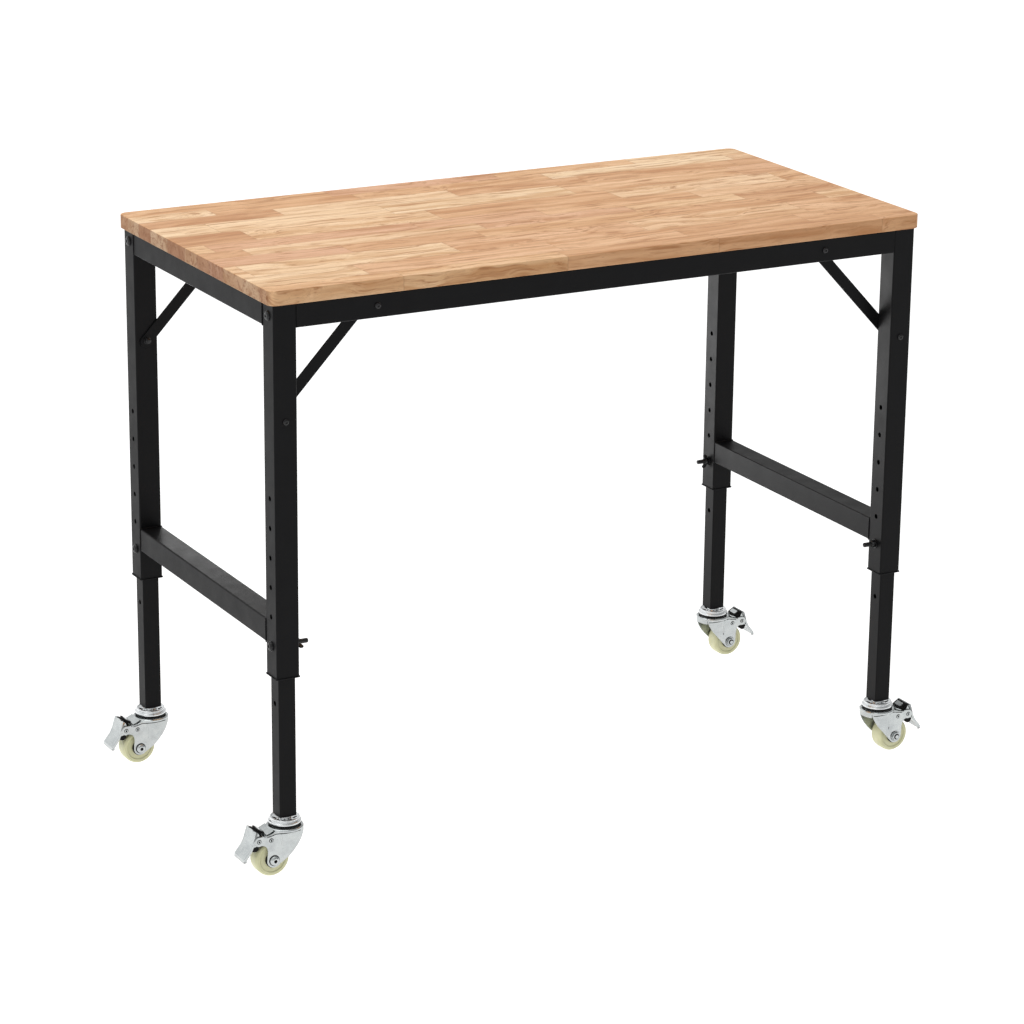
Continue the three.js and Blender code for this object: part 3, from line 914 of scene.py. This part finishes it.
def smooth_profile(profile):
    """A lathe profile with rounded corners, whose ends on the axis stay."""
    made = rounded(profile, 0.3, 3)
    return [(max(p[0], 0.0), p[1]) for p in made]


def leg_plug():
    """The caster's block, flush with the inner leg, and its plug up inside the tube."""
    bore = SLIDE - 2 * TUBE_WALL - 0.6
    block = soften(prism(rectangle(SLIDE, SLIDE, SLIDE_ROUND), SLIDE_BOTTOM - 2.2, SLIDE_BOTTOM - 0.1), 0.4)
    plug = soften(prism(rectangle(bore, bore, 1.5), SLIDE_BOTTOM - 1, SLIDE_BOTTOM + 38), 0.8)
    return together(block, plug)


def gap_shade_ring():
    """The black ring between the two swivel rings, painted as the shade of the gap between them."""
    section = [(23.6, 1.4), (26.6, 1.4), (27.1, 2.4), (26.8, 4.8), (23.6, 4.8)]
    return lathe(rounded([(r, FORK_TOP + z) for r, z in section], 0.5, 3), 64)


def fork_plate(front, back):
    """Outline of a side plate: round lugs for the axle and the pivot, joined by a front and a back edge."""
    outline = [*front, *arc(AXLE, AXLE_LUG, 1.23, 2.0, 18), *back, *arc(PIVOT, PIVOT_LUG, 1.36, 2.45, 18)]
    outline += [(40, 75, 6), (30, 77.5, 14), (19, FORK_TOP, 5)]
    return rounded(outline, 6, 6)


def fork():
    """Pressed fork: top plate with a rolled edge, nose skirt, two unlike side plates with folded tops."""
    bulged = [(-25, FORK_TOP, 0), (-24.5, 71, 20), (-20.5, 60, 20), (-14.5, 50, 24), (-7, 41, 20), (2, 32, 6)]
    straight = [(-25, FORK_TOP, 0), (-18, 67, 10), (-9, 53, 30), (2.5, 40, 6)]
    narrow = [(39, 47, 8), (40.5, 54, 8), (44.5, 58, 5)]
    wide = [(41.5, 46, 8), (43, 54, 8), (47, 58.5, 5)]
    top = FORK_TOP
    disc = [
        (5.8, top - 3), (28.6, top - 3), (29.4, top - 4.4), (FORK_RADIUS, top - 4.4),
        (FORK_RADIUS, top - 1.4, 1.4), (29.2, top, 1.2), (5.8, top),
    ]
    parts = [lathe(rounded(disc, 0.4, 4), 96)]
    parts.append(soften(prism(fork_plate(bulged, narrow), FORK_INSIDE, FORK_OUTSIDE, "y"), 0.55))
    parts.append(soften(prism(fork_plate(straight, wide), -FORK_OUTSIDE, -FORK_INSIDE, "y"), 0.55))
    parts.append(nose_skirt())
    # A black wire paints the shade along the bend of the plate with the nut.
    parts.append(dark(crease_shade_line()))
    bridge = [(28, top - 0.4), (28, top - 2), (40.6, 74.8), (41.4, 76.6)]
    parts.append(soften(prism(rounded(bridge, 0.6, 2), -FORK_INSIDE, FORK_INSIDE, "y"), 0.3))
    for side in (-1, 1):
        parts.append(folded_edge(side))
        # A black wire paints the shadow line under each folded edge.
        parts.append(dark(fold_shadow_line(side)))
        parts.append(pressed_rib(side))
        parts.append(hollow_rivet(side, *SPACER))
    parts.append(rod(3, -FORK_INSIDE - 0.5, FORK_INSIDE + 0.5, "y", (SPACER[0], 0, SPACER[1]), 24))
    parts.append(spacer_spring())
    return together(*parts)


def nose_skirt():
    """The curved wall under the front of the disc."""
    inner, low, high = FORK_RADIUS - 2.5, FORK_TOP - SKIRT, FORK_TOP - 2
    section = rounded([(inner, low), (FORK_RADIUS, low), (FORK_RADIUS, high), (inner, high)], 0.9, 3)
    rings = []
    for step in range(33):
        angle = math.pi * (0.78 + 0.44 * step / 32)
        rings.append([Vector((p[0] * math.cos(angle), p[0] * math.sin(angle), p[1])) for p in section])
    return loft(rings)


def folded_edge(side):
    """The strip folded inward along the sloping top of a side plate."""
    path = [
        (17, FORK_TOP - 0.6), (20, FORK_TOP - 1.0), (25, 79.8), (30, 77.4), (35, 76.2), (40, 75), (45, 74.9),
    ]
    outer, inner = side * (FORK_OUTSIDE + 0.9), side * (FORK_INSIDE - 5.5)
    rings = []
    for x, z in path:
        section = rounded([(outer, z - 2.0), (outer, z), (inner, z), (inner, z - 2.0)], 0.8, 3)
        rings.append([Vector((x, p[0], p[1])) for p in section])
    return loft(rings)


def fold_shadow_line(side):
    """A black wire under a folded edge, painted as the shadow line beneath it."""
    path = [
        (-19.5, 74.8), (-12, 73.8), (0, 73.4), (10, 74.0), (19, 75.2), (25, 75.6), (30, 74.2), (35, 73.2),
        (41, 72.4),
    ]
    return wire([(x, side * (FORK_OUTSIDE + 0.1), z) for x, z in path], 0.6, 8)


def crease_shade_line():
    """A black wire along the line where the plate with the nut is bent, painted as the shade of the bend."""
    return wire([(15.6, -FORK_OUTSIDE, 75), (15.0, -FORK_OUTSIDE, 62), (13.4, -FORK_OUTSIDE, 45)], 0.45, 8)


def pressed_rib(side):
    """A shallow stiffening rib pressed down a side plate towards the axle."""
    rings = []
    for step in range(13):
        share = step / 12
        z = 47 + 29 * share
        swell = max(math.sin(math.pi * share), 0.0) ** 0.4
        ring = []
        for n in range(12):
            angle = math.tau * n / 12
            y = side * (FORK_OUTSIDE - 0.3 + 1.3 * swell * max(math.sin(angle), -0.3))
            ring.append(Vector((13 + 2.5 * share + 1.5 * math.cos(angle), y, z)))
        rings.append(ring)
    return loft(rings)


def hollow_rivet(side, x, z):
    """A rivet with a rolled rim on a side plate. Its bore and the gap round it are black: painted shade in
    the hole and at the rim.
    """
    rim = [(1.3, -1), (3.3, -1), (3.3, 0.5), (2.9, 1.1), (2.2, 1.3), (1.5, 0.9), (1.3, -0.6)]
    bore = [(0, -1), (1.35, -1), (1.35, 0.3), (0, 0.3)]
    gap = [(3.2, -0.4), (4.0, -0.4), (4.0, 0.1), (3.2, 0.1)]
    parts = []
    for profile, steps in ((rim, 28), (bore, 20), (gap, 28)):
        parts.append(lathe([(r, side * (FORK_OUTSIDE + h)) for r, h in profile], steps, "y"))
    return moved(together(parts[0], dark(parts[1]), dark(parts[2])), x, 0, z)


def spacer_spring():
    """Coil round the spacer, with a leg towards the release tab."""
    steps = 24
    count = SPRING["turns"] * steps
    points = []
    for n in range(count + 1):
        angle = math.tau * n / steps
        x = SPACER[0] + SPRING["radius"] * math.cos(angle)
        z = SPACER[1] + SPRING["radius"] * math.sin(angle)
        points.append((x, SPRING["width"] * (n / count - 0.5), z))
    points += [(41, 7.2, 69), (44, 7.2, 72)]
    return wire(points, SPRING["wire"], 8)


def wheel():
    """Hub, dished web, a bead on the side and a crowned tread, the same on both sides."""
    half = [
        (5.2, 16.4, 0.3), (9.4, 16.4, 0.6), (9.6, 12.2, 0.6), (21.8, 12.2, 1.0), (22.6, 13.7, 0.5),
        (23.9, 14, 0.4), (24.4, 13.5, 0.4), (25.6, 13.5, 0.4), (26.4, 14, 0.9), (29.3, 11.3, 2.5),
        (30, 7.5, 6),
    ]
    profile = [(r, -y, e) for r, y, e in half] + half[::-1]
    return moved(lathe(rounded(profile, 0.5, 4), 96, "y"), AXLE[0], 0, AXLE[1])


def axle():
    """Socket head on one side, nut on the other, and black washers beside the wheel and under both. The
    washers beside the wheel are partly real washers, and partly painted shade of the gap between wheel and
    fork.
    """
    out = FORK_OUTSIDE + 0.3
    head = button_head(AXLE_BOLT["head"], AXLE_BOLT["height"], AXLE_BOLT["socket"])
    head = moved(turned(head, 90, "Z"), y=out)
    nut = hex_nut(AXLE_BOLT["nut"], AXLE_BOLT["nut_height"], AXLE_BOLT["end"])
    nut = moved(turned(nut, -90, "Z"), y=-out)
    shank = rod(AXLE_BOLT["shank"], -out - 0.5, out + 0.5, "y")
    parts = [head, nut, shank]
    for side in (-1, 1):
        # Black washers beside the wheel: real washers that also paint the shade of the gap to the fork.
        low, high = sorted((side * 13, side * 16.9))
        parts.append(dark(lathe([(10.2, low), (13.5, low), (13.5, high), (10.2, high)], 40, "y")))
        low, high = sorted((side * (out - 0.6), side * (out + 0.15)))
        parts.append(dark(rod(9.3, low, high, "y", steps=40)))
    return moved(together(*parts), AXLE[0], 0, AXLE[1])


def pedal():
    """Pressed pedal plate with curled edges, two ears and the pivot pin."""
    bends = [
        (56, 89, 0), (58, 83.5, 0), (64.5, 63, 16), (69, 53.5, 16), (80.2, 39.6, 2.5), (80.6, 34.6, 0),
        (80.6, 34.2, 0),
    ]
    path = rounded(bends, 16, 7)[1:-1]
    rings = []
    for i, here in enumerate(path):
        ahead = (path[min(i + 1, len(path) - 1)] - path[max(i - 1, 0)]).normalized()
        out = Vector((-ahead.y, ahead.x))
        share = min(max((60 - here.y) / 14, 0.0), 1.0)
        curl = -1.8 - 1.6 * share * share * (3 - 2 * share)
        section = [
            (-19, 0.4, 0.9), (-19, curl, 0.2), (-17.3, curl, 0.2), (-17.3, -0.05, 0.2), (17.3, -0.05, 0.2),
            (17.3, curl, 0.2), (19, curl, 0.2), (19, 0.4, 0.9), (19, 1.8, 1.3), (-19, 1.8, 1.3),
        ]
        flat = rounded(section, 0.3, 3)
        rings.append([Vector((here.x + out.x * p[1], p[0], here.y + out.y * p[1])) for p in flat])
    plate = loft(rings)
    notches = [prism(rectangle(5, 4, 0.6, 3), 40, 70, "x", (0, y, 85.5)) for y in (-9, 9)]
    parts = [carved(plate, *notches)]
    ear = rounded([
        (57.4, 84, 2), (66.4, 61.6, 1), (69, 57, 2), (60, 58, 3), (51.5, 60.5, 4), (49.5, 66, 5), (51, 73, 5),
        (54, 80, 3),
    ], 3, 5)
    for side in (-1, 1):
        parts.append(soften(prism(ear, *sorted((side * 14.2, side * 16.4)), "y"), 0.4))
        parts.append(hollow_rivet(side, *PIVOT))
    parts.append(rod(2.9, -FORK_OUTSIDE - 0.3, FORK_OUTSIDE + 0.3, "y", (PIVOT[0], 0, PIVOT[1]), 24))
    return together(*parts)


def on_lever(bm):
    """Puts a piece drawn flat on the slope of the release lever."""
    return moved(turned(bm, -LEVER_SLOPE, "Y"), *LEVER)


def tab_plate():
    """Bright plate that shows through the opening of the release lever."""
    return on_lever(soften(prism(rectangle(8.2, 18.4, 2), -1.0, 1.5), 0.3))


def shoe():
    """Moulded brake pad between the ears, and the sloping release lever with its opening above it."""
    outline = [
        (47.5, 79.6, 1), (50, 72, 3), (49, 64, 3), (52, 58, 2), (53, 51.4, 1.5), (57, 48, 2), (63, 48.6, 3),
        (66, 54, 3), (65.3, 62, 2), (57.4, 84.6, 1),
    ]
    pad = soften(prism(rounded(outline, 1.5, 5), -13.9, 13.9, "y"), 0.8, 3)
    opening = prism(rectangle(8.4, 18.6, 2), -4, 4)
    lever = soften(carved(prism(rectangle(14, 24.6, 3), -1.2, 1.2), opening), 0.5)
    return together(pad, on_lever(lever))


def caster_pieces():
    """The casters, and the plug, the black ring of painted gap shade and the tab that no CAD node stands for.
    """
    head, plug, shade_ring = caster_head(), leg_plug(), gap_shade_ring()
    pressing, bolt, tread = fork(), axle(), wheel()
    plate, moulding, tab = pedal(), shoe(), tab_plate()
    for corner in CORNERS:
        leg, swivel, press = f"sliding_leg_{corner}", f"swivel_fork_{corner}", f"pedal_{corner}"
        # The black plastic second finish paints shade into the slots, sockets, rivet holes and gaps.
        table = (
            ("caster_head", "disc", head, (BRIGHT, PLASTIC), leg),
            ("caster_fork", "pressing", pressing, (ZINC, PLASTIC), swivel),
            ("caster_axle", "bolt", bolt, (ZINC, PLASTIC), swivel),
            ("caster_wheel", "tread", tread, (NYLON, NYLON), f"wheel_{corner}"),
            ("brake_pedal", "plate", plate, (ZINC, PLASTIC), press),
            ("brake_shoe", "moulding", moulding, (PLASTIC, PLASTIC), press),
        )
        replace_nodes(corner, table)
        place = corner_place(corner)
        piece(f"caster_head_{corner}_plug", plug, COAT, leg, place=place)
        # The black ring paints the shade in the gap between the swivel rings.
        piece(f"caster_gap_shade_ring_{corner}", shade_ring, PLASTIC, leg, place=place)
        piece(f"brake_tab_{corner}", tab, ZINC, press, place=place)


# ---- Studio ----

def camera():
    """A long lens from the front left, a little above the top."""
    place = (-2.82078, -5.11868, 2.32344)
    yaw, pitch, roll = 0.5019, 0.3099, 0.0104
    data = bpy.data.cameras.new("camera")
    data.sensor_width = 36
    data.lens = 124.02
    data.clip_end = 60
    made = bpy.data.objects.new("camera", data)
    bpy.context.scene.collection.objects.link(made)
    ahead = Vector((math.sin(yaw) * math.cos(pitch), math.cos(yaw) * math.cos(pitch), -math.sin(pitch)))
    right = Vector((math.cos(yaw), -math.sin(yaw), 0))
    level = Matrix((right, right.cross(ahead), -ahead)).transposed()
    turn = level @ Matrix.Rotation(roll, 3, "Z")
    made.matrix_world = Matrix.Translation(place) @ turn.to_4x4()
    bpy.context.scene.camera = made


def floor():
    bm = bmesh.new()
    bmesh.ops.create_grid(bm, x_segments=2, y_segments=2, size=14)
    mesh = bpy.data.meshes.new("floor")
    bm.to_mesh(mesh)
    g = Graph("floor_white")
    g.finish(Base_Color=(0.86, 0.86, 0.86, 1), Roughness=0.8, Specular_IOR_Level=0.1)
    g.finish(Emission_Color=(1, 1, 1, 1), Emission_Strength=FLOOR_GLOW)
    mesh.materials.append(g.material)
    made = bpy.data.objects.new("floor", mesh)
    made.location.z = -FLOOR_DROP
    bpy.context.scene.collection.objects.link(made)


def area_light(name, place, aim, size, power):
    data = bpy.data.lights.new(name, "AREA")
    data.shape = "RECTANGLE"
    data.size, data.size_y = size
    data.energy = power
    made = bpy.data.objects.new(name, data)
    made.location = place
    made.rotation_mode = "QUATERNION"
    made.rotation_quaternion = (Vector(aim) - Vector(place)).to_track_quat("-Z", "Y")
    made.visible_camera = False
    bpy.context.scene.collection.objects.link(made)
    return made


def studio():
    """White to the camera. For light and gloss it is brightest to the left and back, dimmer in front."""
    world = bpy.data.worlds.new("studio")
    world.use_nodes = True
    tree = world.node_tree
    sky = tree.nodes["Background"]
    sky.inputs["Color"].default_value = (1, 1, 1, 1)
    way = tree.nodes.new("ShaderNodeTexCoord")
    towards = tree.nodes.new("ShaderNodeVectorMath")
    towards.operation = "DOT_PRODUCT"
    towards.inputs[1].default_value = Vector(BRIGHT_SIDE).normalized()
    spread = tree.nodes.new("ShaderNodeMapRange")
    spread.inputs["From Min"].default_value = -1.0
    spread.inputs["To Min"].default_value = DIM_SKY
    spread.inputs["To Max"].default_value = BRIGHT_SKY
    path = tree.nodes.new("ShaderNodeLightPath")
    seen = tree.nodes.new("ShaderNodeMix")
    seen.inputs["B"].default_value = SEEN_SKY
    tree.links.new(way.outputs["Generated"], towards.inputs[0])
    tree.links.new(towards.outputs["Value"], spread.inputs["Value"])
    tree.links.new(path.outputs["Is Camera Ray"], seen.inputs["Factor"])
    tree.links.new(spread.outputs["Result"], seen.inputs["A"])
    tree.links.new(seen.outputs["Result"], sky.inputs["Strength"])
    bpy.context.scene.world = world
    bpy.context.scene.view_settings.view_transform = "Standard"
    area_light("overhead", place=(-0.6, 0.4, 3.6), aim=(0, 0, 0.9), size=(2.6, 2.6), power=30)
    fill = area_light("low_fill", place=(-0.2, 1.25, 0.4), aim=(0.6, 0, 0.45), size=(1.0, 0.7), power=10)
    fill.light_linking.receiver_collection = coated


worktop()
bars()
long_aprons()
braces()
brace_bolts()
top_screws()
leg_pieces()
caster_pieces()
camera()
floor()
studio()

for mark in carve_marks:
    bpy.data.materials.remove(mark)
